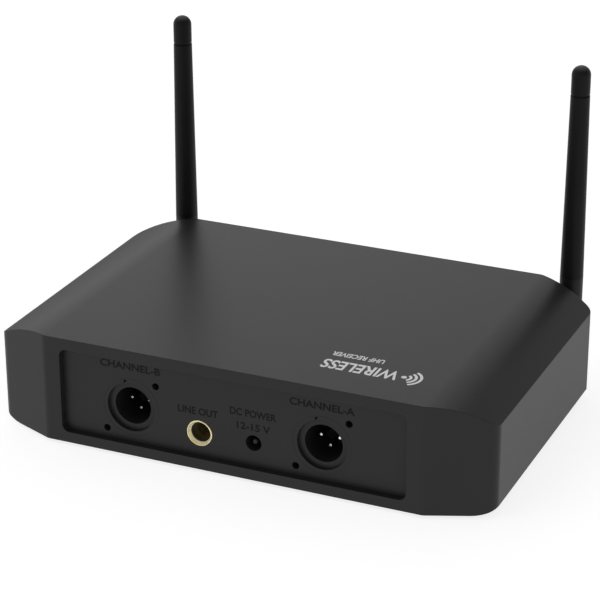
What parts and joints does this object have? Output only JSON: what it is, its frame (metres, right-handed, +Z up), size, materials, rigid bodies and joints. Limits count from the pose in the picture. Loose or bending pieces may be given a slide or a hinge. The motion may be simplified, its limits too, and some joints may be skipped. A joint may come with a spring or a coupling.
{
  "type": "wireless microphone receiver",
  "caption": "Desktop wireless microphone receiver in a low black case with folding stub antennas, volume knobs, a display and a recessed rear panel of audio sockets.",
  "frame": {"origin": "on the surface the unit stands on, under the centre of its box", "axes": "+Z up; -Y towards the front controls and antennas, +Y towards the rear socket panel; +X to the right seen from the front; millimetre model, metres in the row"},
  "size_m": [0.19, 0.1362, 0.1225],
  "materials": {
    "housing_plastic": "satin black moulded plastic, fine texture",
    "panel_plastic": "satin black moulded plastic",
    "black_screw": "black zinc",
    "foot_rubber": "matt rubber",
    "bright_screw": "zinc plated",
    "socket_plastic": "black glass-filled plastic",
    "contact_metal": "silver plated",
    "gold_bushing": "gold plated",
    "smoked_window": "smoked clear plastic",
    "bezel_gloss": "gloss black",
    "display_glass": "display glass",
    "lamp_lens": "tinted lens",
    "switch_plastic": "moulded",
    "pot_metal": "nickel plated",
    "circuit_board": "green solder mask",
    "shield_steel": "tinned",
    "chip_black": "moulded epoxy",
    "capacitor_sleeve": "shrink sleeve",
    "heat_sink_metal": "extruded",
    "connector_plastic": "moulded",
    "ribbon_grey": "PVC",
    "coax_jacket": "thin jacket",
    "button_plastic": "satin",
    "knob_plastic": "satin",
    "antenna_base_plastic": "satin",
    "antenna_rubber": "soft satin",
    "radiator_brass": "bare"
  },
  "bodies": {
    "housing": {"top_cover": "housing_plastic", "bottom_cover": "housing_plastic", "cover_screws": "black_screw", "rubber_feet": "foot_rubber", "board_screws": "bright_screw", "rear_panel": "panel_plastic", "front_panel": "panel_plastic", "xlr_shell_a": "socket_plastic", "xlr_shell_b": "socket_plastic", "xlr_inserts": "socket_plastic", "xlr_pins_a": "contact_metal", "xlr_pins_b": "contact_metal", "mix_jack_body": "socket_plastic", "mix_jack_bushing": "gold_bushing", "mix_jack_contacts": "contact_metal", "dc_jack_body": "socket_plastic", "dc_jack_pin": "contact_metal", "display_window": "smoked_window", "display_bezel": "bezel_gloss", "display_module": "display_glass", "indicator_lights": "lamp_lens", "button_switches": "switch_plastic", "volume_pots": "pot_metal", "pot_nuts": "pot_metal", "front_board": "circuit_board", "front_board_screws": "bright_screw", "main_board": "circuit_board", "receiver_modules": "circuit_board", "rf_shields": "shield_steel", "processor_chip": "chip_black", "audio_chips": "chip_black", "filter_capacitors": "capacitor_sleeve", "heat_sink": "heat_sink_metal", "voltage_regulator": "chip_black", "ribbon_connectors": "connector_plastic", "ribbon_cable": "ribbon_grey", "coax_leads": "coax_jacket", "antenna_bushings": "antenna_base_plastic", "antenna_nuts": "pot_metal"},
    "antenna_base_a": {"antenna_swivel_a": "antenna_base_plastic", "antenna_clip_a": "pot_metal", "antenna_pin_a": "pot_metal"},
    "antenna_whip_a": {"antenna_collar_a": "antenna_base_plastic", "antenna_sleeve_a": "antenna_rubber", "antenna_tip_a": "antenna_rubber", "antenna_rod_a": "radiator_brass"},
    "volume_a": {"volume_shaft_a": "pot_metal", "volume_knob_a": "knob_plastic"},
    "set_a": {"set_button_a": "button_plastic"},
    "antenna_base_b": {"antenna_swivel_b": "antenna_base_plastic", "antenna_clip_b": "pot_metal", "antenna_pin_b": "pot_metal"},
    "antenna_whip_b": {"antenna_collar_b": "antenna_base_plastic", "antenna_sleeve_b": "antenna_rubber", "antenna_tip_b": "antenna_rubber", "antenna_rod_b": "radiator_brass"},
    "volume_b": {"volume_shaft_b": "pot_metal", "volume_knob_b": "knob_plastic"},
    "set_b": {"set_button_b": "button_plastic"},
    "power": {"power_button": "button_plastic"}
  },
  "joints": [
    {"name": "antenna_swivel_a_turn", "type": "hinge", "parent": "housing", "child": "antenna_base_a", "pos_m": [-0.081, -0.0552, 0.024], "axis": [0, -1, 0], "range_deg": [-45, 90]},
    {"name": "antenna_fold_a", "type": "hinge", "parent": "antenna_base_a", "child": "antenna_whip_a", "pos_m": [-0.081, -0.0637, 0.024], "axis": [1, 0, 0], "range_deg": [0, 90]},
    {"name": "volume_a_turn", "type": "hinge", "parent": "housing", "child": "volume_a", "pos_m": [-0.043, -0.051, 0.0218], "axis": [0, 1, 0], "range_deg": [-150, 150]},
    {"name": "set_a_press", "type": "slide", "parent": "housing", "child": "set_a", "axis": [0, 1, 0], "range_m": [0, 0.0007], "stiffness_N_per_m": 900, "springref_m": -0.0006},
    {"name": "antenna_swivel_b_turn", "type": "hinge", "parent": "housing", "child": "antenna_base_b", "pos_m": [0.081, -0.0552, 0.024], "axis": [0, 1, 0], "range_deg": [-45, 90]},
    {"name": "antenna_fold_b", "type": "hinge", "parent": "antenna_base_b", "child": "antenna_whip_b", "pos_m": [0.081, -0.0637, 0.024], "axis": [1, 0, 0], "range_deg": [0, 90]},
    {"name": "volume_b_turn", "type": "hinge", "parent": "housing", "child": "volume_b", "pos_m": [0.043, -0.051, 0.0218], "axis": [0, 1, 0], "range_deg": [-150, 150]},
    {"name": "set_b_press", "type": "slide", "parent": "housing", "child": "set_b", "axis": [0, 1, 0], "range_m": [0, 0.0007], "stiffness_N_per_m": 900, "springref_m": -0.0006},
    {"name": "power_press", "type": "slide", "parent": "housing", "child": "power", "axis": [0, 1, 0], "range_m": [0, 0.0007], "stiffness_N_per_m": 1200, "springref_m": -0.0006}
  ]
}
